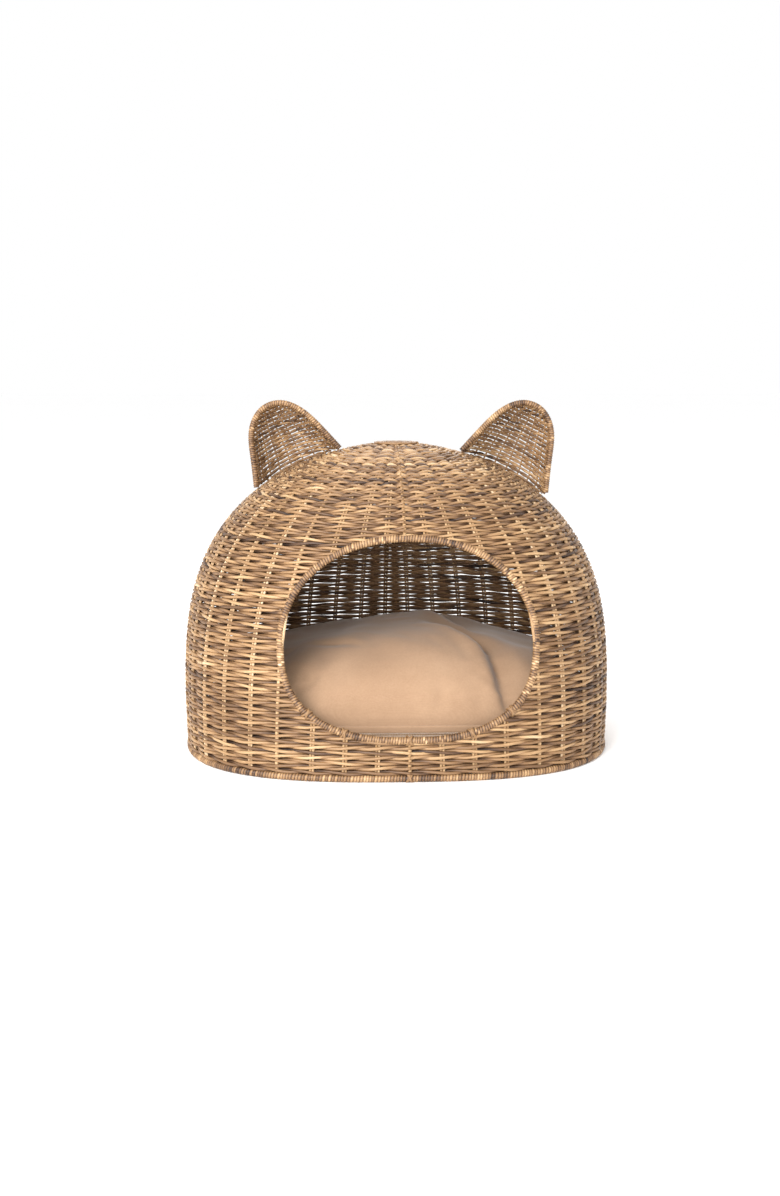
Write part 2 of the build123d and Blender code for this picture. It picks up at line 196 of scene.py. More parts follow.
def front_wall_y(x, z, inset):
    level_inset = inset / np.cos(lean(z))
    half_width = BASE_HALF_WIDTH * girth(z) - level_inset
    half_depth = BASE_HALF_DEPTH * girth(z) - level_inset
    power = corner_power(z)
    return -half_depth * (1 - np.abs(x / half_width) ** power) ** (1 / power)


def inside_body(points, margin):
    """How far in units of the half-widths the points are from the axis: below 1 is inside."""
    z = points[:, 2]
    size = girth(z)
    power = corner_power(z)
    x = np.abs(points[:, 0]) / np.maximum(BASE_HALF_WIDTH * size + margin, 1e-6)
    y = np.abs(points[:, 1]) / np.maximum(BASE_HALF_DEPTH * size + margin, 1e-6)
    level = (x ** power + y ** power) ** (1 / power)
    return np.where(z > HEIGHT + margin, 9.0, level)


def arc_lengths(points):
    """How far along a polyline each of its points lies."""
    return np.concatenate([[0], np.cumsum(np.linalg.norm(np.diff(points, axis=0), axis=1))])


class Meridian:
    """Arc length up the mean wall, to space rows evenly."""
    heights = HEIGHT * np.sin(np.linspace(0, math.pi / 2, 2000)) * 0.99999
    across = girth(heights) * (BASE_HALF_WIDTH + BASE_HALF_DEPTH) / 2
    lengths = np.concatenate([[0], np.cumsum(np.hypot(np.diff(heights), np.diff(across)))])

    @classmethod
    def height(cls, length):
        return np.interp(length, cls.lengths, cls.heights)

    @classmethod
    def length(cls, height):
        return np.interp(height, cls.heights, cls.lengths)


class Girdle:
    """Angles evenly spaced along the base, counted in stakes from the middle of the doorway."""
    samples = np.linspace(-math.pi / 2, 1.5 * math.pi, 6001)
    points = wall_points(samples, np.zeros(6001), 0)
    lengths = arc_lengths(points)
    start = lengths[np.argmax(points[:3000, 0] >= CENTRE)]

    @classmethod
    def turn(cls, stake):
        whole = cls.lengths[-1]
        goal = cls.start + whole * np.asarray(stake) / STAKE_COUNT
        laps = np.floor(goal / whole)
        return np.interp(goal - laps * whole, cls.lengths, cls.samples) + laps * 2 * math.pi


def door_shape(upper):
    """How far the middle of the hoop reaches up or down from DOOR_MIDDLE, and its corner power."""
    reach = np.where(upper, DOOR_RISE, DOOR_DROP) + HOOP_BOUND / 2
    return reach, np.where(upper, DOOR_ROUND_ABOVE, DOOR_ROUND_BELOW)


def door_level(x, z):
    """Below 1 inside the doorway's outline grown to the middle of its hoop, above 1 outside."""
    height, power = door_shape(z >= DOOR_MIDDLE)
    a = np.abs(x - CENTRE) / (DOOR_HALF_WIDTH + HOOP_BOUND / 2)
    b = np.abs(z - DOOR_MIDDLE) / height
    return (a ** power + b ** power) ** (1 / power)


def door_line(count):
    turn = np.linspace(0, 2 * math.pi, count, endpoint=False)
    height, power = door_shape(np.sin(turn) >= 0)
    x = CENTRE + (DOOR_HALF_WIDTH + HOOP_BOUND / 2) * signed_power(np.cos(turn), 2 / power)
    z = DOOR_MIDDLE + height * signed_power(np.sin(turn), 2 / power)
    return even_line(np.stack([x, front_wall_y(x, z, WALL / 2), z], -1), count, closed=True)


# ---------------------------------------------------------------- lines and meshes

def even_line(points, count, closed=False):
    """The polyline resampled at even steps."""
    if closed:
        points = np.vstack([points, points[:1]])
    lengths = arc_lengths(points)
    goals = np.linspace(0, lengths[-1], count + 1 if closed else count)
    line = np.stack([np.interp(goals, lengths, points[:, i]) for i in range(3)], -1)
    return line[:-1] if closed else line


def smooth_line(points, count):
    """Natural cubic spline through a few points, evenly sampled."""
    points = np.asarray(points, float)
    knots = arc_lengths(points)
    n = len(points)
    gaps = np.diff(knots)
    system = np.eye(n)
    right = np.zeros((n, points.shape[1]))
    for i in range(1, n - 1):
        system[i, i - 1:i + 2] = gaps[i - 1], 2 * (gaps[i - 1] + gaps[i]), gaps[i]
        rise = (points[i + 1] - points[i]) / gaps[i] - (points[i] - points[i - 1]) / gaps[i - 1]
        right[i] = 6 * rise
    bend = np.linalg.solve(system, right)
    places = np.linspace(0, knots[-1], count * 4)
    span = np.clip(np.searchsorted(knots, places, side="right") - 1, 0, n - 2)
    low, high = places - knots[span], knots[span + 1] - places
    gap = gaps[span]
    line = (
        bend[span] * (high ** 3 / (6 * gap))[:, None]
        + bend[span + 1] * (low ** 3 / (6 * gap))[:, None]
        + (points[span] / gap[:, None] - bend[span] * (gap / 6)[:, None]) * high[:, None]
        + (points[span + 1] / gap[:, None] - bend[span + 1] * (gap / 6)[:, None]) * low[:, None]
    )
    return even_line(line, count)


def normalized(vectors):
    return vectors / np.maximum(np.linalg.norm(vectors, axis=-1, keepdims=True), 1e-12)


def wave_noise(places, rng, octaves=4, longest=12.0):
    """Smooth random wave of about unit size along a line of places."""
    total = np.zeros(np.shape(places))
    for octave in range(octaves):
        length = longest / 1.9 ** octave
        total = total + np.sin(2 * math.pi * (places / length + rng.random())) * 0.75 ** octave
    return total / 1.7


def upright(line):
    return np.tile([0.0, 0.0, 1.0], (len(line), 1))


def forward(line):
    return np.tile([0.0, -1.0, 0.0], (len(line), 1))


def clear_ranges(clear):
    """First and last-plus-one index of each unbroken stretch that is clear."""
    edges = np.flatnonzero(np.diff(np.concatenate([[0], clear.astype(int), [0]])))
    return list(zip(edges[::2], edges[1::2]))


def tube_frame(line, outward, closed):
    """Two directions square to the line at each point, the first one close to outward."""
    ahead = np.roll(line, -1, 0) - np.roll(line, 1, 0) if closed else np.gradient(line, axis=0)
    ahead = normalized(ahead)
    side = normalized(np.cross(ahead, outward))
    return np.cross(side, ahead)[:, None], side[:, None]


TURNED = [0, 3, 2, 1]         # corners of a quad in the other order, to make it face the other way


def tube_quads(count, sides, closed=False):
    """Faces between count rings of points, and one cap for each open end."""
    here = np.arange(sides)
    after = (here + 1) % sides
    rows = np.arange(count if closed else count - 1)[:, None]
    nexts = (rows + 1) % count
    quads = np.stack([
        rows * sides + here, nexts * sides + here, nexts * sides + after, rows * sides + after,
    ], -1).reshape(-1, 4)
    caps = [] if closed else [here[::-1], (count - 1) * sides + here]
    return quads, caps


class Strands:
    """Round canes gathered into one mesh, each with its colour and grain along it."""

    def __init__(self, sides=STRAND_SIDES):
        self.sides = sides
        self.vertices, self.quads, self.caps = [], [], []
        self.tints, self.grains = [], []
        self.count = 0

    def add(self, line, radius, outward, tint, seed, flat=1.0):
        """A tube along line; outward is a direction square-ish to the line at each point, and
        flat the share of the radius that it has that way."""
        count = len(line)
        if count < 2:
            return
        out, side = tube_frame(line, outward, False)
        around = (np.arange(self.sides) + 0.5) * 2 * math.pi / self.sides
        radius = np.broadcast_to(np.asarray(radius, float), (count,))[:, None, None]
        ring = flat * np.cos(around)[None, :, None] * out + np.sin(around)[None, :, None] * side
        self.vertices.append((line[:, None] + radius * ring).reshape(-1, 3))
        grain = np.stack([
            np.repeat(arc_lengths(line), self.sides), np.tile(around, count),
            np.full(count * self.sides, seed),
        ], -1)
        self.grains.append(grain)
        self.tints.append(np.repeat(np.broadcast_to(np.asarray(tint, float), (count,)), self.sides))
        quads, caps = tube_quads(count, self.sides)
        self.quads.append(quads + self.count)
        self.caps += [cap + self.count for cap in caps]
        self.count += count * self.sides

    def build(self, name, material):
        return mesh_object(
            name, np.vstack(self.vertices), np.vstack(self.quads), material,
            np.array(self.caps).reshape(-1, self.sides),
            np.concatenate(self.tints), np.vstack(self.grains),
        )


def mesh_object(name, vertices, quads, material, caps=(), tints=None, grains=None):
    """A smooth-shaded mesh object from arrays."""
    mesh = bpy.data.meshes.new(name)
    mesh.vertices.add(len(vertices))
    mesh.vertices.foreach_set("co", np.asarray(vertices, np.float32).ravel())
    corners = [quads.ravel()]
    sizes = [np.full(len(quads), quads.shape[1])]
    if len(caps):
        corners.append(np.asarray(caps).ravel())
        sizes.append(np.full(len(caps), np.asarray(caps).shape[1]))
    corners = np.concatenate(corners).astype(np.int32)
    sizes = np.concatenate(sizes)
    mesh.loops.add(len(corners))
    mesh.loops.foreach_set("vertex_index", corners)
    mesh.polygons.add(len(sizes))
    starts = np.concatenate([[0], np.cumsum(sizes)[:-1]]).astype(np.int32)
    mesh.polygons.foreach_set("loop_start", starts)
    mesh.polygons.foreach_set("use_smooth", np.ones(len(sizes), bool))
    if tints is not None:
        mesh.attributes.new("tint", "FLOAT", "POINT").data.foreach_set(
            "value", np.asarray(tints, np.float32))
    if grains is not None:
        mesh.attributes.new("grain", "FLOAT_VECTOR", "POINT").data.foreach_set(
            "vector", np.asarray(grains, np.float32).ravel())
    mesh.update(calc_edges=True)
    mesh.validate()
    piece = bpy.data.objects.new(name, mesh)
    bpy.context.scene.collection.objects.link(piece)
    mesh.materials.append(material)
    return piece


def cane_tints(stakes, rng):
    """Colour along a strand: canes of their own shade, joined end to end."""
    ends = np.cumsum(rng.uniform(3, 14, 16)) + stakes[0]
    shades = np.clip(rng.normal(MEAN_TINT, 0.12, 17), 0.02, 0.98)
    dark = rng.random(17) < 0.06
    shades = np.where(dark, rng.uniform(0.2, 0.34, 17), shades)
    return shades[np.searchsorted(ends, stakes)] + 0.07 * wave_noise(stakes, rng, 4, 6.0)


# ---------------------------------------------------------------- materials

CANE_COLOURS = [
    (0.0, (0.022, 0.010, 0.006)),
    (0.18, (0.072, 0.035, 0.017)),
    (0.42, (0.195, 0.103, 0.046)),
    (0.62, (0.350, 0.202, 0.094)),
    (0.82, (0.520, 0.336, 0.172)),
    (1.0, (0.740, 0.550, 0.350)),
]
CANVAS_COLOURS = [
    (0.25, (0.275, 0.168, 0.099)), (0.65, (0.352, 0.220, 0.133)), (0.9, (0.410, 0.264, 0.164)),
]


class Look:
    """A procedural material, built node by node."""

    def __init__(self, name):
        self.material = bpy.data.materials.new(name)
        self.material.use_nodes = True
        self.tree = self.material.node_tree
        self.shader = self.tree.nodes["Principled BSDF"]

    def add(self, kind, feeds=None, **settings):
        """A node; feeds says which output goes into which of its inputs."""
        node = self.tree.nodes.new("ShaderNode" + kind)
        for key, value in settings.items():
            socket = key.replace("_", " ")
            if socket in node.inputs:
                node.inputs[socket].default_value = value
            else:
                setattr(node, key, value)
        for key, source in (feeds or {}).items():
            self.tree.links.new(source, node.inputs[key])
        return node

    def noise(self, place, **settings):
        return self.add("TexNoise", {"Vector": place}, **settings).outputs["Fac"]

    def scaled_sum(self, source, factor, rest):
        """source times factor, plus rest."""
        node = self.add("Math", {0: source, 2: rest}, operation="MULTIPLY_ADD")
        node.inputs[1].default_value = factor
        return node.outputs[0]

    def colour(self, level, stops):
        """The base colour, from a ramp over the level."""
        node = self.add("ValToRGB", {"Fac": level})
        ramp = node.color_ramp
        while len(ramp.elements) < len(stops):
            ramp.elements.new(0.5)
        for element, (place, colour) in zip(ramp.elements, stops):
            element.position = place
            element.color = (*colour, 1)
        self.tree.links.new(node.outputs["Color"], self.shader.inputs["Base Color"])

    def roughness(self, level, low, high):
        node = self.add("MapRange", {"Value": level}, To_Min=low, To_Max=high)
        self.tree.links.new(node.outputs["Result"], self.shader.inputs["Roughness"])

    def relief(self, level, strength, depth):
        node = self.add("Bump", {"Height": level}, Strength=strength, Distance=depth)
        self.tree.links.new(node.outputs["Normal"], self.shader.inputs["Normal"])

    def finished(self, **constants):
        """The material, with these values on the shader's own sockets."""
        for socket, value in constants.items():
            self.shader.inputs[socket.replace("_", " ")].default_value = value
        return self.material


def cane_material(name, from_attributes=True, lighter=0.0, roughness=0.42):
    """Round cane: shade per cane, fine streaks along it, darker blotches and a slight gloss."""
    look = Look(name)
    if from_attributes:
        place = look.add("Attribute", attribute_name="grain").outputs["Vector"]
        shade = look.add("Attribute", attribute_name="tint").outputs["Fac"]
        scale = (60.0, 0.9, 37.0)
    else:
        place = look.add("TexCoord").outputs["Object"]
        shade = look.noise(place, Scale=14.0, Detail=2.0)
        scale = (260.0, 260.0, 30.0)
    place = look.add("Mapping", {"Vector": place}, Scale=scale).outputs["Vector"]
    streaks = look.noise(place, Scale=2.2, Detail=4.0, Roughness=0.65)
    blotches = look.noise(place, Scale=0.5, Detail=2.0)
    # the tint attribute holds each cane's own tone and, on body weave strands and wound bindings, painted
    # shade
    tint_with_grain_and_blotches = look.scaled_sum(blotches, 0.34, look.scaled_sum(streaks, 0.42, shade))
    level = look.add("Math", {0: tint_with_grain_and_blotches}, operation="SUBTRACT")
    level.inputs[1].default_value = 0.38 - lighter
    look.colour(level.outputs[0], CANE_COLOURS)
    look.roughness(streaks, roughness + 0.18, roughness - 0.08)
    look.relief(streaks, 0.35, 0.3 * MM)
    return look.finished(Specular_IOR_Level=0.45)


def canvas_material():
    """Beige canvas: fine crossed threads, slubs, slight mottling and a soft sheen."""
    look = Look("canvas")
    place = look.add("TexCoord").outputs["Object"]
    threads = {}
    for i, angle in enumerate((0.0, math.pi / 2)):
        turned = look.add("Mapping", {"Vector": place}, Rotation=(0.25, 0.2, angle)).outputs["Vector"]
        wave = look.add("TexWave", {"Vector": turned}, Scale=620.0, Distortion=1.2, Detail_Scale=2.0)
        threads[i] = wave.outputs["Fac"]
    weave = look.add("Math", threads, operation="MULTIPLY").outputs[0]
    mottle = look.noise(place, Scale=9.0, Detail=5.0, Roughness=0.6)
    slubs = look.noise(place, Scale=420.0, Detail=2.0)
    fine = look.scaled_sum(slubs, 0.3, look.scaled_sum(weave, 0.12, mottle))
    look.colour(fine, CANVAS_COLOURS)
    look.relief(fine, 0.35, 0.4 * MM)
    return look.finished(Roughness=0.88, Sheen_Weight=0.25, Sheen_Roughness=0.5, Specular_IOR_Level=0.2)


def plain_textured(name, dark, light, scale, roughness, metallic=0.0, bump_depth=0.2 * MM):
    """A surface with fine noise in its colour, gloss and relief."""
    look = Look(name)
    grain = look.noise(look.add("TexCoord").outputs["Object"], Scale=scale, Detail=5.0, Roughness=0.6)
    look.colour(grain, [(0.3, dark), (0.7, light)])
    look.roughness(grain, roughness - 0.06, roughness + 0.08)
    look.relief(grain, 0.5, bump_depth)
    return look.finished(Metallic=metallic)


# ---------------------------------------------------------------- body weave

def basket_piece(piece, slot, *nodes):
    """A piece that belongs to the basket and stands for these CAD nodes."""
    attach(piece, "basket")
    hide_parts(*nodes)


def strand_noise(stakes, level, rng):
    """Height wobble of a row: slow waves shared by neighbours, and a little of its own."""
    shared = np.sin(stakes * 0.45 + level * 0.11) + 0.6 * np.sin(stakes * 1.13 - level * 0.23 + 1.7)
    return 0.35 * shared + 0.5 * wave_noise(stakes, rng, 4, 9.0)


def body_row(level, length, top_length, rng):
    """Two strands of one row as (stakes, line, outward, radius, tint)."""
    z_row = float(Meridian.height(length))
    spacing = 2 if girth(z_row) < SHORT_STAKE_REACH else 1
    steps = STAKE_COUNT * STEPS_PER_STAKE // spacing
    stakes = np.linspace(STAKE_COUNT / 2, STAKE_COUNT * 1.5, steps + 1)
    turn = Girdle.turn(stakes)
    twist = math.pi * stakes / spacing
    away_from_joint = np.clip(np.minimum(stakes - stakes[0], stakes[-1] - stakes) / 2, 0, 1)
    wobble = strand_noise(stakes, level, rng) * away_from_joint * 0.55 * MM
    calm = np.clip((top_length - length) / (12 * MM), 0.2, 1)
    rows = []
    for side in (1, -1):
        radius = STRAND / 2 * (1 + 0.10 * away_from_joint * wave_noise(stakes, rng, 3, 5.0))
        swing = STRAND_SWING * (1 + 0.05 * away_from_joint * wave_noise(stakes, rng, 3, 3.0))
        inset = WALL / 2 - side * swing * signed_power(np.cos(twist), 0.8)
        hand = side if level % 2 else -side
        lift = hand * STRAND_CROSSING * signed_power(np.sin(twist), 0.7)
        z = Meridian.height(length + lift + wobble * calm)
        line = wall_points(turn, z, inset)
        outward = normalized(line - wall_points(turn, z, inset + 2 * MM))
        tints = MEAN_TINT + (cane_tints(stakes, rng) - MEAN_TINT) * away_from_joint
        # painted shade: the strand's colour darkens the further in it lies, so the stretches behind the
        # stakes look shaded
        tints = tints - PAINTED_SHADE_INWARD * (inset / WALL - 0.3)
        rows.append((stakes, line, outward, radius, tints))
    return rows


def outside_door(line):
    """Which points of a row are behind the middle of the basket or outside the doorway."""
    return (line[:, 1] >= 0) | (door_level(line[:, 0], line[:, 2]) > 1)


def door_crossing(outer, inner):
    """Point where a strand meets the middle of the hoop, between two of its points."""
    low, high = 0.0, 1.0
    for _ in range(12):
        middle = (low + high) / 2
        point = outer + (inner - outer) * middle
        if door_level(point[0], point[2]) > 1:
            low = middle
        else:
            high = middle
    return outer + (inner - outer) * low


def body_weave(material):
    """The wall, split into sectors and levels so that no mesh grows too large."""
    rng = np.random.default_rng(11)
    first = Meridian.length(RING_BOUND) + STRAND / 2 + 0.3 * MM
    crown_length = Meridian.lengths[-1] - CROWN_RADIUS - 1.0 * MM
    lengths = np.arange(first, crown_length, ROW_PITCH)
    groups = {}
    for level, length in enumerate(lengths):
        storey = level * STOREYS // len(lengths)
        for stakes, line, outward, radius, tints in body_row(level, length, crown_length, rng):
            for start, end in clear_ranges(outside_door(line)):
                cut_by_sector(groups, storey, start, end, stakes, line, outward, radius, tints, rng)
    for (storey, sector), strands in sorted(groups.items()):
        piece = strands.build(f"weave_{storey + 1}_{sector + 1}", material)
        basket_piece(piece, "cane_weave", "dome_weave_outer", "dome_weave_inner")


def cut_by_sector(groups, storey, start, end, stakes, line, outward, radius, tints, rng):
    """Adds one clear stretch of a strand to the sectors that it passes through."""
    sector_of = ((stakes - STAKE_COUNT / 2) * SECTORS / STAKE_COUNT).astype(int).clip(0, SECTORS - 1)
    seed = rng.random() * 50
    place = start
    while place < end - 1:
        sector = sector_of[place]
        stop = place
        while stop < end - 1 and sector_of[stop] == sector:
            stop += 1
        part = line[place:stop + 1]
        out = outward[place:stop + 1]
        thick = radius[place:stop + 1]
        shade = tints[place:stop + 1]
        if place == start and start > 0:
            part = np.vstack([door_crossing(line[start], line[start - 1]), part])
            out, thick, shade = (np.concatenate([v[:1], v]) for v in (out, thick, shade))
        if stop == end - 1 and end < len(line):
            part = np.vstack([part, door_crossing(line[end - 1], line[end])])
            out, thick, shade = (np.concatenate([v, v[-1:]]) for v in (out, thick, shade))
        groups.setdefault((storey, sector), Strands()).add(part, thick, out, shade, seed, flat=STRAND_FLAT)
        place = stop


def stake_line(number, sideways, low, high):
    """Middle of one cane, sideways of the middle of its pair, as far as the doorway allows."""
    turn = np.full(90, float(Girdle.turn(number)))
    z = low + (high - low) * np.sin(np.linspace(0, math.pi / 2, 90))
    ahead = normalized(wall_points(turn + 0.01, z, WALL / 2) - wall_points(turn - 0.01, z, WALL / 2))
    line = wall_points(turn, z, WALL / 2) + ahead * sideways
    outward = normalized(wall_points(turn, z, 0.0) - wall_points(turn, z, WALL / 2))
    return line, outward


def add_stake(strands, number, sideways, radius, part, rng):
    """One cane of a pair; part is all, below or above the doorway."""
    short = round(number) % 2
    high = HEIGHT * 0.9997
    if short:
        heights = Meridian.heights[girth(Meridian.heights) >= SHORT_STAKE_REACH]
        high = float(heights[-1])
    line, outward = stake_line(number, sideways, RING_BOUND, high)
    keep = np.ones(len(line), bool)
    if part != "all":
        clear = door_level(line[:, 0], line[:, 2]) > 1
        keep = clear & ((line[:, 2] > DOOR_MIDDLE) == (part == "above"))
    bend = 0.25 * MM * wave_noise(np.arange(len(line)) / 6, rng, 3, 9.0)
    line = line + outward * bend[:, None]
    tint = STAKE_TINT + 0.1 * wave_noise(np.arange(len(line)) / 6, rng, 3, 12.0)
    tint = tint + 0.06 * rng.standard_normal()
    strands.add(line[keep], radius, outward[keep], tint[keep], rng.random() * 50)


def stakes(material):
    """Upright canes: pairs all round, and single thicker rods about the doorway."""
    rng = np.random.default_rng(13)
    whole = [name for name in frame["nodes"] if name.startswith("dome_stakes_")]
    first, last = DOOR_STAKES + 2, STAKE_COUNT - DOOR_STAKES - 2
    cut = [n for n in range(-DOOR_STAKES, DOOR_STAKES + 1) if n]
    side = DOOR_STAKES + 1
    groups = [
        ("upright_canes", range(first, last + 1), "all", STAKE, whole),
        ("upright_canes_below", cut, "below", STAKE, ["stakes_below_door"]),
        ("upright_canes_above", cut, "above", STAKE, ["stakes_above_door"]),
        ("post_below", [0], "below", POST, ["front_post"]),
        ("rib_above", [0], "above", POST, ["top_rib"]),
        ("post_right", [side + 0.1], "all", POST, ["side_post_right"]),
        ("post_left", [-side - 0.1], "all", POST, ["side_post_left"]),
    ]
    for name, numbers, part, thick, nodes in groups:
        strands = Strands(8)
        for number in numbers:
            for sideways in (0.0,) if thick == POST else (-STAKE_PAIR_SPACING / 2, STAKE_PAIR_SPACING / 2):
                add_stake(strands, number, sideways, thick / 2, part, rng)
        slot = "rattan_rod" if thick == POST else "stake_cane"
        basket_piece(strands.build(name, material), slot, *nodes)


def crown(material):
    """The last turns of weave, wound in a flat spiral over the ends of the stakes."""
    rng = np.random.default_rng(5)
    strands = Strands(8)
    turns = 8.6
    share = np.linspace(0, 1, 700)
    angle = share * turns * 2 * math.pi
    reach = (CROWN_RADIUS + 1.2 * MM) * (1 - share) + 0.6 * MM
    ripple = 0.35 * MM * np.sin(angle * 10.5)
    z = HEIGHT - 2.3 * MM - 0.5 * MM * (reach / CROWN_RADIUS) ** 2 + ripple
    line = np.stack([reach * np.cos(angle), reach * np.sin(angle), z], -1)
    strands.add(line, 1.55 * MM, upright(line), cane_tints(share * 40, rng), 3.0)
    basket_piece(strands.build("crown_winding", material), "cane_weave", "crown_button")


# ---------------------------------------------------------------- bindings

def wound_binding(name, line, closed, bound, winding, material, node, outward, seed):
    """Cane wound tightly round a rod: ridges that run round it in a slow helix."""
    strand, pitch = winding
    core = bound / 2 - strand
    rng = np.random.default_rng(seed)
    lengths = np.linalg.norm(np.diff(line, axis=0), axis=1)
    total = lengths.sum() + (np.linalg.norm(line[0] - line[-1]) if closed else 0)
    count = int(total / (pitch / 5))
    line = even_line(line, count, closed)
    out, side = tube_frame(line, outward(line), closed)
    sides = 14
    around = np.linspace(0, 2 * math.pi, sides, endpoint=False)
    windings = round(total / pitch)
    places = np.arange(count) / count * windings
    uneven = 0.22 * wave_noise(places, rng, 4, 17.0)
    if closed:
        uneven = uneven * np.sin(np.pi * np.arange(count) / count) ** 0.3
    phase = (places + uneven)[:, None] + around[None, :] / (2 * math.pi)
    winding = np.floor(phase)
    across = 2 * (phase - winding) - 1
    ridge = np.sqrt(np.maximum(1 - across ** 2 * 0.93, 0.02))
    shades = np.clip(rng.normal(0.60, 0.13, windings + 8), 0.05, 1)
    long_shade = 0.14 * wave_noise(np.arange(windings + 8), rng, 3, 60.0)
    tint = (shades + long_shade)[winding.astype(int) % (windings + 8)]
    # painted shade: each turn is painted darker towards its edges, in the grooves between turns
    tint = tint - 0.8 * (1 - ridge)
    radius = core + strand * ridge
    ring = np.cos(around)[None, :, None] * out + np.sin(around)[None, :, None] * side
    vertices = (line[:, None] + radius[:, :, None] * ring).reshape(-1, 3)
    quads, caps = tube_quads(count, sides, closed)
    grain = np.stack([
        np.tile(around * core * 60, count), np.repeat(np.arange(count) * 0.3, sides),
        winding.ravel() * 1.7,
    ], -1)
    piece = mesh_object(name, vertices, quads, material, caps, tint.ravel(), grain)
    basket_piece(piece, "cane_binding", node)


def bindings(material):
    inset = RING_BOUND / 2
    turn = np.linspace(0, 2 * math.pi, 800, endpoint=False)
    ring = wall_points(turn, np.zeros(800), inset)
    ring[:, 2] = inset
    wound_binding("base_winding", ring, True, RING_BOUND, BASE_WINDING, material,
                  "base_ring_binding", upright, 21)
    wound_binding("doorway_winding", door_line(600), True, HOOP_BOUND, HOOP_WINDING, material,
                  "doorway_binding", forward, 22)


def lashing(strands, middle, ahead, outward, radius, width, rng, turns=5):
    """Strip cane tied crosswise round a bound rod: figures of eight that cross in front."""
    side = np.cross(ahead, outward)
    count = turns * 26
    turn = np.linspace(-math.pi * (turns - 1), math.pi * (turns + 1), count)
    for strand in range(2):
        spread = width * (0.75 + 0.3 * wave_noise(turn / 2 / math.pi, rng, 2, 2.5))
        along = spread * np.sin(turn / 2 + strand * 0.25)
        reach = radius + (0.5 + 0.35 * strand) * MM
        out = np.cos(turn)[:, None] * outward + np.sin(turn)[:, None] * side
        line = middle + reach * out + along[:, None] * ahead
        strands.add(line, 0.95 * MM, out, 0.55 + 0.12 * wave_noise(turn, rng, 3, 9.0), rng.random() * 9)


def lashings(material):
    rng = np.random.default_rng(17)
    hoop = door_line(720)
    ahead = normalized(np.roll(hoop, -1, 0) - np.roll(hoop, 1, 0))
    lowest = int(np.argmin(hoop[:, 2] + 0.02 * np.abs(hoop[:, 0] - CENTRE)))
    front = np.array([0.0, -1.0, 0.0])
    spots = {
        "sill_lashing": [lowest],
        "door_side_lashings": [nearest(hoop, spot) for spot in DOOR_TIES],
    }
    for node, places in spots.items():
        strands = Strands(6)
        for place in places:
            out = normalized(front - ahead[place] * (front @ ahead[place]))
            lashing(strands, hoop[place], ahead[place], out, HOOP_BOUND / 2, 5 * MM, rng)
        basket_piece(strands.build(node.replace("lashing", "tie"), material), "cane_binding", node)
    strands = Strands(6)
    inset = RING_BOUND / 2
    foot = np.array([CENTRE, front_wall_y(CENTRE, 0.0, inset), inset + 0.7 * MM])
    lashing(strands, foot, np.array([1.0, 0, 0]), front, RING_BOUND / 2 - 0.4 * MM, 6 * MM, rng)
    basket_piece(strands.build("base_tie", material), "cane_binding", "base_lashing")


def nearest(line, spot):
    x, z = spot
    return int(np.argmin(np.hypot(line[:, 0] - CENTRE - x * MM, line[:, 2] - z * MM)))


def floor_weave(material):
    """Canes woven over and under the floor sticks, row beside row."""
    rng = np.random.default_rng(19)
    strands = Strands(6)
    reach = (FLOOR_STICK_COUNT - 1) / 2 * FLOOR_STICK_PITCH
    rows = np.arange(-BASE_HALF_DEPTH + 14 * MM, BASE_HALF_DEPTH - 13 * MM, FLOOR_ROW_PITCH)
    for row, y in enumerate(rows):
        depth_share = np.array(abs(y) / (BASE_HALF_DEPTH - 10 * MM))
        edge_turn = math.asin(signed_power(depth_share, CORNER_AT_BASE / 2))
        half = (BASE_HALF_WIDTH - 11 * MM) * math.cos(edge_turn) ** (2 / CORNER_AT_BASE)
        x = np.linspace(-half, half, int(half / (2.6 * MM)))
        phase = math.pi * (x + reach) / FLOOR_STICK_PITCH + math.pi * (row % 2)
        swing = (FLOOR_STICK + FLOOR_STRAND) / 2 * 0.86
        z = FLOOR_STICK_MIDDLE + 0.5 * MM + swing * signed_power(np.cos(phase), 0.8)
        z = np.clip(z, FLOOR_STRAND / 2 + 0.2 * MM, None)
        sway = 0.5 * MM * wave_noise(x / (20 * MM), rng, 3, 6.0)
        line = np.stack([x, y + sway, z], -1)
        tints = cane_tints(x / (40 * MM), rng) - 0.05
        strands.add(line, FLOOR_STRAND / 2, upright(line), tints, rng.random() * 50)
    basket_piece(strands.build("floor_cane", material), "cane_floor", "floor_weave")


# ---------------------------------------------------------------- ears

def ear_frame():
    """Origin at the outer foot, u towards the inner foot, v square to it and up."""
    start, end = np.array(EAR_RIM[0]) * MM, np.array(EAR_RIM[-1]) * MM
    u = normalized(end - start)
    return start, u, np.array([u[1], -u[0]])


def ear_rim():
    return smooth_line([(CENTRE + x * MM, 0.0, z * MM) for x, z in EAR_RIM], 400)


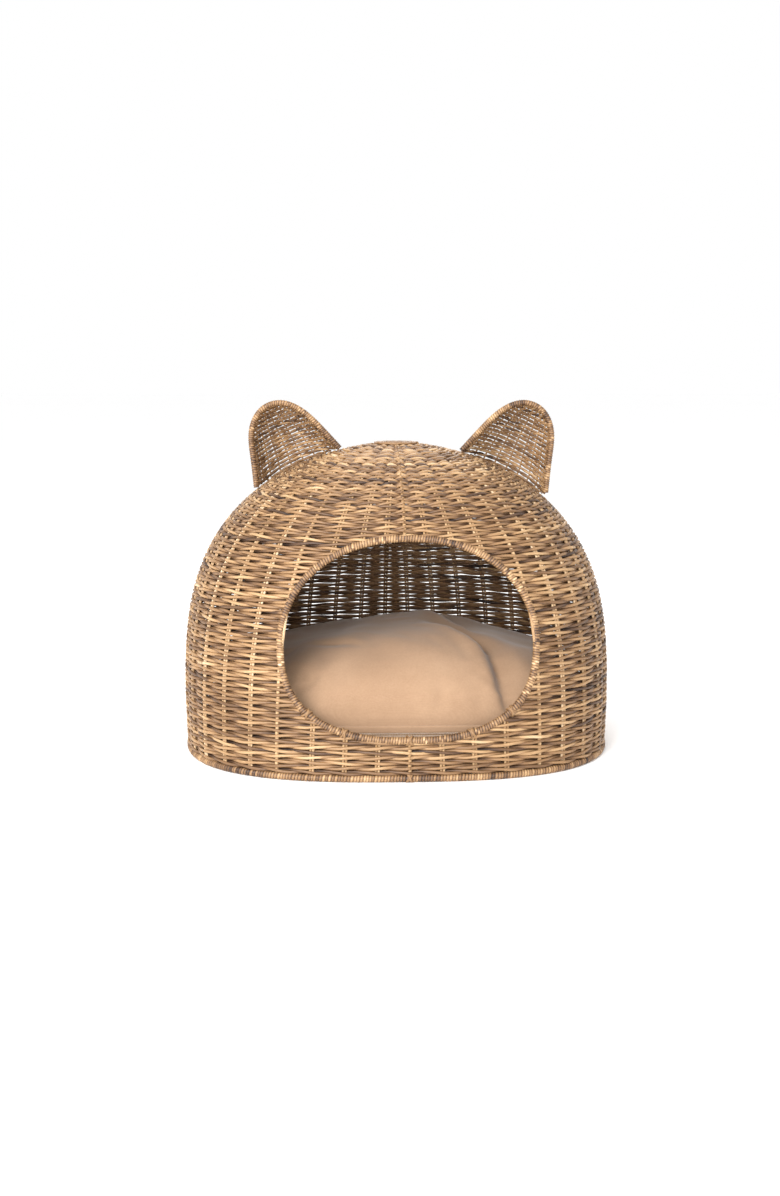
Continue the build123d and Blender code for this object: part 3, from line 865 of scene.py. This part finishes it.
class EarShape:
    """The right-hand scoop: half ovals behind the rim, in planes along the ear's foot."""

    def __init__(self):
        rim = ear_rim()
        self.start, self.u, self.v = ear_frame()
        flat = np.stack([rim[:, 0] - CENTRE, rim[:, 2]], -1) - self.start
        self.rim_u, self.rim_v = flat @ self.u, flat @ self.v
        self.peak = int(np.argmax(self.rim_v))
        self.height = float(self.rim_v[self.peak])

    def points(self, v, swing, inset=0.0):
        """Points at heights v over the foot line, swing from 0 (outer rim) to pi (inner rim)."""
        level = np.clip(v, 0, self.height * 0.999)
        outer = np.interp(level, self.rim_v[:self.peak + 1], self.rim_u[:self.peak + 1])
        inner = np.interp(-level, -self.rim_v[self.peak:], self.rim_u[self.peak:])
        middle, half = (outer + inner) / 2, (inner - outer) / 2 - inset
        depth = EAR_DEPTH * np.sqrt(1 - (level / self.height) ** 2 * 0.97) - inset
        u = middle - half * np.cos(swing)
        arch = EAR_ARCH * np.sin(swing) * (1 - level / self.height)
        flat = self.start + self.u * u[..., None] + self.v * (v + arch)[..., None]
        return np.stack([CENTRE + flat[..., 0], depth * np.sin(swing), flat[..., 1]], -1)


def mirrored(points):
    flipped = points.copy()
    flipped[:, 0] = 2 * CENTRE - flipped[:, 0]
    return flipped


def ear_row(shape, v, side, rng):
    swing = np.linspace(0.03, math.pi - 0.03, EAR_STAKES * 7 + 8)
    columns = swing / math.pi * (EAR_STAKES + 1)
    twist = math.pi * columns
    height = v + side * 1.2 * MM * np.sin(twist) + 0.5 * MM * wave_noise(columns, rng, 3, 6.0)
    inset = 2.2 * MM - side * 1.75 * MM * np.cos(twist)
    line = shape.points(height, swing, inset)
    outward = normalized(line - shape.points(height, swing, inset + 2 * MM))
    return line, outward


def ear(side_name, weave_material, stake_material, binding_material):
    """One ear; the left one is worked out as a right one and mirrored line by line."""
    right = side_name == "right"
    shape = EarShape()
    rng = np.random.default_rng(31 if right else 32)
    flip = (lambda p: p) if right else mirrored
    turn_out = (lambda d: d) if right else (lambda d: d * np.array([-1, 1, 1]))
    weave = ear_weave(shape, flip, turn_out, rng)
    basket_piece(weave.build(f"{side_name}_ear_cane", weave_material), "cane_weave", f"{side_name}_ear_weave")
    rim = flip(ear_rim())
    rim = rim[inside_body(rim, 0.0) > 1]
    wound_binding(f"{side_name}_ear_winding", rim, False, EAR_BOUND, EAR_WINDING,
                  binding_material, f"{side_name}_ear_binding", forward, 41 if right else 42)
    rod = Strands(10)
    rod.add(rim[::6], EAR_ROD / 2, forward(rim[::6]), 0.6, 2.0)
    basket_piece(rod.build(f"{side_name}_ear_rod", stake_material), "rattan_rod", f"{side_name}_ear_rim")


def ear_weave(shape, flip, turn_out, rng):
    """Rows from below the foot to under the tip, and the stakes that they pass."""
    weave = Strands()
    for v in np.arange(-14 * MM, shape.height - 5 * MM, EAR_ROW_PITCH):
        for side in (1, -1):
            line, outward = ear_row(shape, v, side, rng)
            line, outward = flip(line), turn_out(outward)
            radius = EAR_STRAND / 2 * (1 + 0.1 * wave_noise(np.arange(len(line)) / 7, rng, 3, 5.0))
            tints = cane_tints(np.arange(len(line)) / 7, rng) - 0.06
            for a, b in clear_ranges(inside_body(line, 0.5 * MM) > 1):
                weave.add(line[a:b], radius[a:b], outward[a:b], tints[a:b], rng.random() * 50)
    for i in range(1, EAR_STAKES + 1):
        swing = math.pi * i / (EAR_STAKES + 1)
        v = np.linspace(-14 * MM, shape.height - 3 * MM, 30)
        line = flip(shape.points(v, np.full(30, swing), 2.2 * MM))
        out = turn_out(np.tile([math.cos(swing), math.sin(swing), 0.2], (30, 1)))
        keep = inside_body(line, -1 * MM) > 1
        if keep.sum() > 2:
            first = int(np.argmax(keep))
            weave.add(line[first:], EAR_STAKE / 2, out[first:], 0.62, i * 1.0)
    return weave


# ---------------------------------------------------------------- cushion

def ring_surface(name, profile, half_width, half_depth, material):
    """A closed form of rounded-rectangle rings; profile is (share of the half-widths, height)."""
    sides = 96
    turn = np.linspace(0, 2 * math.pi, sides, endpoint=False)
    across = signed_power(np.cos(turn), 2 / CUSHION_CORNER)
    deep = signed_power(np.sin(turn), 2 / CUSHION_CORNER)
    rings = [
        np.stack([half_width * share * across, half_depth * share * deep, np.full(sides, z)], -1)
        for share, z in profile
    ]
    quads, caps = tube_quads(len(rings), sides)
    piece = mesh_object(name, np.vstack(rings), quads[:, TURNED], material)
    mesh = piece.data
    form = bmesh.new()
    form.from_mesh(mesh)
    form.verts.ensure_lookup_table()
    for cap in caps:
        form.faces.new([form.verts[i] for i in cap])
    bmesh.ops.recalc_face_normals(form, faces=form.faces)
    form.to_mesh(mesh)
    form.free()
    return piece


def cushion_profile(bottom, seam, top, rim):
    """From the middle of the underside, round the band, up over the crown to its middle."""
    under = [(share, bottom) for share in (0.08, 0.35, 0.7, 0.9)]
    band = [(0.975, bottom + 3 * MM), (0.995, bottom + 12 * MM), (rim, (bottom + seam) / 2), (0.995, seam)]
    shares = np.array([0.97, 0.93, 0.86, 0.76, 0.64, 0.5, 0.35, 0.2, 0.06])
    crown = [(share, seam + (top - seam) * (1 - share ** 2.3) ** 0.72) for share in shares]
    return under + band + crown


def fold_field(spots, x, y):
    """Distance from a fold line, positive behind it, and the share along it."""
    line = smooth_line([(a * MM, b * MM, 0) for a, b in spots], 60)
    gap = np.hypot(x[:, None] - line[None, :, 0], y[:, None] - line[None, :, 1])
    near = gap.argmin(1)
    ahead = np.gradient(line, axis=0)[near]
    away = np.stack([x, y], -1) - line[near, :2]
    side = np.sign(ahead[:, 0] * away[:, 1] - ahead[:, 1] * away[:, 0])
    return side * gap.min(1), near / (len(line) - 1)


def lie(points):
    """How the stuffed cushion sits: a hump in the middle, a fold to its right, slack at the left."""
    x, y, z = points.T.copy()
    top = np.clip((z - CUSHION_SEAM * 0.6) / (CUSHION_TOP - CUSHION_SEAM * 0.6), 0, 1)
    bumps = 0
    for rise, x_middle, y_middle, x_reach, y_reach in BUMPS:
        bumps = bumps + rise * np.exp(-((x - x_middle) / x_reach) ** 2 - ((y - y_middle) / y_reach) ** 2)
    folds = 0
    for spots, depth in FOLDS:
        away, along = fold_field(spots, x, y)
        width = np.where(away > 0, 24 * MM, 5 * MM)
        deep = depth * np.interp(along, [0, 0.15, 0.5, 0.9, 1], [0.05, 0.35, 0.9, 1.0, 0.7])
        folds = folds - deep * np.exp(-(away / width) ** 2)
        folds = folds + 0.35 * deep * np.exp(-((away + 16 * MM) / (11 * MM)) ** 2)
    crease_line = (x + 115 * MM) * 0.35 + (y + 75 * MM)
    crease = -7 * MM * np.exp(-(crease_line / (7 * MM)) ** 2) * np.exp(-((x + 75 * MM) / (35 * MM)) ** 2)
    broad = np.sin(x * 38 + 1.3) * np.sin(y * 45 + 0.4)
    narrow = 0.6 * np.sin(x * 83 + y * 41) * np.sin(y * 71 - x * 29 + 2)
    z = z + top * (bumps + folds + crease + 2.2 * MM * (broad + narrow))
    return np.stack([x, y, z], -1)


def points_of(piece):
    mesh = piece.data
    points = np.empty(len(mesh.vertices) * 3, np.float32)
    mesh.vertices.foreach_get("co", points)
    return points.reshape(-1, 3).astype(float)


def set_points(piece, points):
    piece.data.vertices.foreach_set("co", np.asarray(points, np.float32).ravel())
    piece.data.update()


def normals_of(piece):
    normals = np.empty(len(piece.data.vertices) * 3, np.float32)
    piece.data.vertex_normals.foreach_get("vector", normals)
    return normals.reshape(-1, 3).astype(float)


def apply_modifiers(piece):
    """The mesh as its modifiers leave it, with no modifier left."""
    depsgraph = bpy.context.evaluated_depsgraph_get()
    mesh = bpy.data.meshes.new_from_object(piece.evaluated_get(depsgraph))
    piece.modifiers.clear()
    piece.data = mesh


def remesh(piece, voxel):
    modifier = piece.modifiers.new("remesh", "REMESH")
    modifier.mode = "VOXEL"
    modifier.voxel_size = voxel
    apply_modifiers(piece)


def blow_up(piece, pinned, frames):
    """Cloth under inner pressure, held where pinned; no point moves beyond SWELL_LIMIT."""
    start = points_of(piece)
    group = piece.vertex_groups.new(name="pinned")
    group.add([int(i) for i in np.flatnonzero(pinned)], 1.0, "REPLACE")
    cloth = piece.modifiers.new("cloth", "CLOTH")
    settings = cloth.settings
    settings.quality = 4
    settings.mass = 0.25
    settings.use_pressure = True
    settings.uniform_pressure_force = 4
    settings.effector_weights.gravity = 0
    settings.vertex_group_mass = "pinned"
    settings.tension_stiffness = 18
    settings.compression_stiffness = 18
    settings.bending_stiffness = 0.3
    cloth.collision_settings.use_collision = False
    cloth.point_cache.frame_start = 1
    cloth.point_cache.frame_end = frames
    for frame_number in range(1, frames + 1):
        bpy.context.scene.frame_set(frame_number)
    apply_modifiers(piece)
    piece.vertex_groups.clear()
    moved = points_of(piece) - start
    length = np.linalg.norm(moved, axis=1, keepdims=True)
    moved *= np.minimum(1, SWELL_LIMIT / np.maximum(length, 1e-9))
    set_points(piece, start + moved)


def keep_in_basket(points):
    """The cushion rests on the woven floor and presses on nothing round it."""
    points[:, 2] = np.maximum(points[:, 2], CUSHION_BOTTOM + 0.2 * MM)
    for _ in range(3):
        level = inside_body(points, -WALL - 3 * MM)
        points[:, :2] *= np.minimum(1, 1 / np.maximum(level, 1e-6))[:, None]
    front = (points[:, 1] < ZIP_FACE + 0.4 * MM) & (points[:, 2] < 75 * MM)
    points[front, 1] = ZIP_FACE + 0.4 * MM
    return points


def cushion(canvas_look, film_look, wadding_look):
    profile = cushion_profile(CUSHION_BOTTOM + 1 * MM, CUSHION_SEAM, CUSHION_TOP - 8 * MM, 1.0)
    cover = ring_surface("stuffed_cover", profile, CUSHION_HALF_WIDTH, CUSHION_HALF_DEPTH, canvas_look)
    remesh(cover, 4.6 * MM)
    resting = points_of(cover)
    set_points(cover, lie(resting))
    pinned = (resting[:, 2] < CUSHION_BOTTOM + 3 * MM) | (
        (resting[:, 1] < ZIP_FACE + 12 * MM) & (resting[:, 2] < 66 * MM)
    )
    blow_up(cover, pinned, 16)
    seam = np.exp(-((resting[:, 2] - CUSHION_SEAM) / (3.5 * MM)) ** 2)
    pucker = 1 + 0.5 * np.sin(np.arctan2(resting[:, 1], resting[:, 0]) * 61)
    points = points_of(cover) - normals_of(cover) * (seam * pucker * 1.3 * MM)[:, None]
    set_points(cover, keep_in_basket(points))
    level = cover.modifiers.new("level", "SMOOTH")
    level.factor, level.iterations = 0.5, 4
    smooth = cover.modifiers.new("smooth", "SUBSURF")
    smooth.levels = smooth.render_levels = 1
    apply_modifiers(cover)
    dress(cover, canvas_look, "cushion", "cushion_cover")

    for name, node, slot, look, gap, rumple, wave in (
        ("waterproof_bag", "cushion_liner", "liner_film", film_look, 7 * MM, 1.4 * MM, 150),
        ("stuffing", "cushion_filling", "wadding", wadding_look, 13 * MM, 1.6 * MM, 60),
    ):
        inner = ring_surface(name, cushion_profile(
            CUSHION_BOTTOM + 1 * MM + gap, CUSHION_SEAM - 8 * MM - gap, CUSHION_TOP - 18 * MM - gap, 0.995,
        ), CUSHION_HALF_WIDTH - gap - 3 * MM, CUSHION_HALF_DEPTH - gap - 1 * MM, look)
        remesh(inner, 8 * MM)
        points = points_of(inner)
        x, y, z = points.T
        crumple = np.sin(x * wave + 2 * np.sin(y * wave * 0.7)) * np.sin(y * wave * 1.1 + z * wave)
        sunk = np.minimum(lie(points), points + [1, 1, 1])
        shrunk = sunk - normals_of(inner) * (rumple * (1 + crumple))[:, None]
        set_points(inner, shrunk)
        dress(inner, look, "cushion", node)


def dress(piece, look, body, node):
    """One material, smooth shading, and its place in the frame."""
    piece.data.materials.clear()
    piece.data.materials.append(look)
    piece.data.polygons.foreach_set("use_smooth", np.ones(len(piece.data.polygons), bool))
    piece.data.update()
    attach(piece, body)
    if node:
        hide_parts(node)


# ---------------------------------------------------------------- zip

def strip(name, y_back, z_middle, length, width, thick, ripple, rng, look):
    """A flat strip of cloth along X with rounded long edges and a gentle ripple."""
    columns = int(length / (2 * MM))
    x = np.linspace(-length / 2, length / 2, columns)
    half_section = [(0.2, 1.0), (0.42, 0.95), (0.5, 0.5), (0.5, 0.0)]
    section = [(-across, out) for across, out in half_section[::-1]] + half_section
    wave = ripple * wave_noise(x / (12 * MM), rng, 3, 5.0)
    rows = []
    for across, out in section:
        rows.append(np.stack([
            x, np.full(columns, y_back - thick * out) - np.abs(wave) * out,
            z_middle + width * across + wave * 0.4,
        ], -1))
    vertices = np.stack(rows, 1).reshape(-1, 3)
    quads, caps = tube_quads(columns, len(section))
    return mesh_object(name, vertices, quads[:, TURNED], look, caps)


def tape_and_welt(side, word, welt_middle, rng, tape_look, canvas_look):
    middle = ZIP_HEIGHT + side * (1.2 * MM + TAPE_SHOWN / 2)
    tape = strip(f"tape_{word}", ZIP_FACE, middle, ZIP_LENGTH + 8 * MM, TAPE_SHOWN, 0.7 * MM, 0.0, rng,
                 tape_look)
    dress(tape, tape_look, "cushion", f"zip_tape_{word}")
    welt = strip(f"welt_{word}", ZIP_FACE + 0.3 * MM, welt_middle, ZIP_LENGTH + 20 * MM, WELT_WIDTH,
                 1.6 * MM, 0.25 * MM, rng, canvas_look)
    dress(welt, canvas_look, "cushion", None)


def stitching(side, word, welt_middle, look):
    stitches = Strands(6)
    for x in np.arange(-ZIP_LENGTH / 2 - 6 * MM, ZIP_LENGTH / 2 + 6 * MM, 4 * MM):
        line = np.array([[x, 0, 0], [x + 0.6 * MM, 0, 0], [x + 2.2 * MM, 0, 0], [x + 2.8 * MM, 0, 0]])
        line[:, 1] = ZIP_FACE - np.array([1.0, 1.5, 1.5, 1.0]) * MM
        line[:, 2] = welt_middle - side * (WELT_WIDTH / 2 - 2.2 * MM)
        stitches.add(line, 0.28 * MM, forward(line), 0.5, 0)
    dress(stitches.build(f"stitching_{word}", look), look, "cushion", None)


def zip_coil(side, word, look):
    turns = ZIP_LENGTH / COIL_PITCH
    angle = np.linspace(0, turns * 2 * math.pi, int(turns * 10))
    line = np.stack([
        angle / (2 * math.pi) * COIL_PITCH - ZIP_LENGTH / 2,
        ZIP_FACE - 1.7 * MM + 0.65 * MM * np.sin(angle),
        ZIP_HEIGHT + side * (1.55 * MM + 1.0 * MM * np.cos(angle)),
    ], -1)
    coil = Strands(6)
    coil.add(line, 0.33 * MM, upright(line), 0.5, 0)
    dress(coil.build(f"coil_{word}", look), look, "cushion", f"zip_coil_{word}")


def zip_fastener(looks, canvas_look):
    """Each side of the zip: its tape, the welt of the cover that laps it, its stitching and coil."""
    rng = np.random.default_rng(23)
    for side, word in ((1, "upper"), (-1, "lower")):
        welt_middle = ZIP_HEIGHT + side * (1.2 * MM + TAPE_SHOWN + WELT_WIDTH / 2 - 2 * MM)
        tape_and_welt(side, word, welt_middle, rng, looks["zip_tape"], canvas_look)
        stitching(side, word, welt_middle, canvas_look)
        zip_coil(side, word, looks["zip_coil"])


# ---------------------------------------------------------------- staging

def floor():
    bpy.ops.mesh.primitive_plane_add(size=60)
    plane = bpy.context.object
    plane.name = "studio_floor"
    plane.data.materials.append(Look("studio_floor").finished(Base_Color=(1, 1, 1, 1), Roughness=0.9))


def area_light(name, place, size, power):
    light = bpy.data.lights.new(name, "AREA")
    light.shape = "SQUARE"
    light.size = size
    light.energy = power
    lamp = bpy.data.objects.new(name, light)
    bpy.context.scene.collection.objects.link(lamp)
    aim(lamp, place, LIT_POINT)


def aim(thing, place, target):
    thing.location = place
    thing.rotation_euler = (Vector(target) - Vector(place)).to_track_quat("-Z", "Y").to_euler()


def studio():
    """Soft light from high on the left and front, and an even white surround."""
    for light in LIGHTS:
        area_light(*light)
    world = bpy.data.worlds.new("studio")
    scene = bpy.context.scene
    scene.world = world
    world.use_nodes = True
    background = world.node_tree.nodes["Background"]
    background.inputs["Color"].default_value = (1, 1, 1, 1)
    background.inputs["Strength"].default_value = 1.0
    scene.view_settings.view_transform = "Standard"


def camera():
    back = Vector((
        math.sin(CAMERA_AZIMUTH) * math.cos(CAMERA_ELEVATION),
        -math.cos(CAMERA_AZIMUTH) * math.cos(CAMERA_ELEVATION),
        math.sin(CAMERA_ELEVATION),
    ))
    data = bpy.data.cameras.new("camera")
    data.lens = CAMERA_LENS
    data.sensor_width = CAMERA_SENSOR
    eye = bpy.data.objects.new("camera", data)
    bpy.context.scene.collection.objects.link(eye)
    aim(eye, Vector(CAMERA_TARGET) + back * CAMERA_DISTANCE, CAMERA_TARGET)
    bpy.context.scene.camera = eye


# ---------------------------------------------------------------- assembly

def dress_cad_nodes(rod, stake, soft_looks):
    """Materials for the CAD nodes whose shapes stay."""
    slots = {entry["node"]: entry["material_slot"] for entry in frame["record"]["subparts"]}
    looks = dict(soft_looks, rattan_rod=rod, stake_cane=stake, cane_binding=rod, cane_floor=rod)
    for name, node in frame["nodes"].items():
        look = looks.get(slots[name])
        if look is None:
            continue
        node.data.materials.clear()
        node.data.materials.append(look)
        for polygon in node.data.polygons:
            polygon.material_index = 0


weave_cane = cane_material("weave_cane")
binding_cane = cane_material("binding_cane", lighter=-0.03)
rod_cane = cane_material("rod_cane", from_attributes=False)
stake_cane = cane_material("stake_cane", lighter=0.05)
canvas = canvas_material()
fine_looks = {
    "zip_tape": plain_textured("zip_tape", (0.70, 0.70, 0.70), (0.86, 0.86, 0.86), 900, 0.8),
    "zip_coil": plain_textured("zip_coil", (0.50, 0.36, 0.25), (0.62, 0.46, 0.33), 600, 0.45),
    "zip_metal": plain_textured("zip_metal", (0.30, 0.29, 0.28), (0.44, 0.43, 0.41), 300, 0.35, metallic=1.0),
    "liner_film": plain_textured("liner_film", (0.030, 0.016, 0.012), (0.075, 0.040, 0.030), 60, 0.18,
                                 bump_depth=2 * MM),
    "wadding": plain_textured("wadding", (0.75, 0.75, 0.73), (0.9, 0.9, 0.88), 120, 0.95),
}

body_weave(weave_cane)
crown(weave_cane)
stakes(stake_cane)
bindings(binding_cane)
lashings(binding_cane)
floor_weave(weave_cane)
for ear_side in ("right", "left"):
    ear(ear_side, weave_cane, stake_cane, binding_cane)
cushion(canvas, fine_looks["liner_film"], fine_looks["wadding"])
zip_fastener(fine_looks, canvas)
dress_cad_nodes(rod_cane, stake_cane, fine_looks)

floor()
studio()
camera()
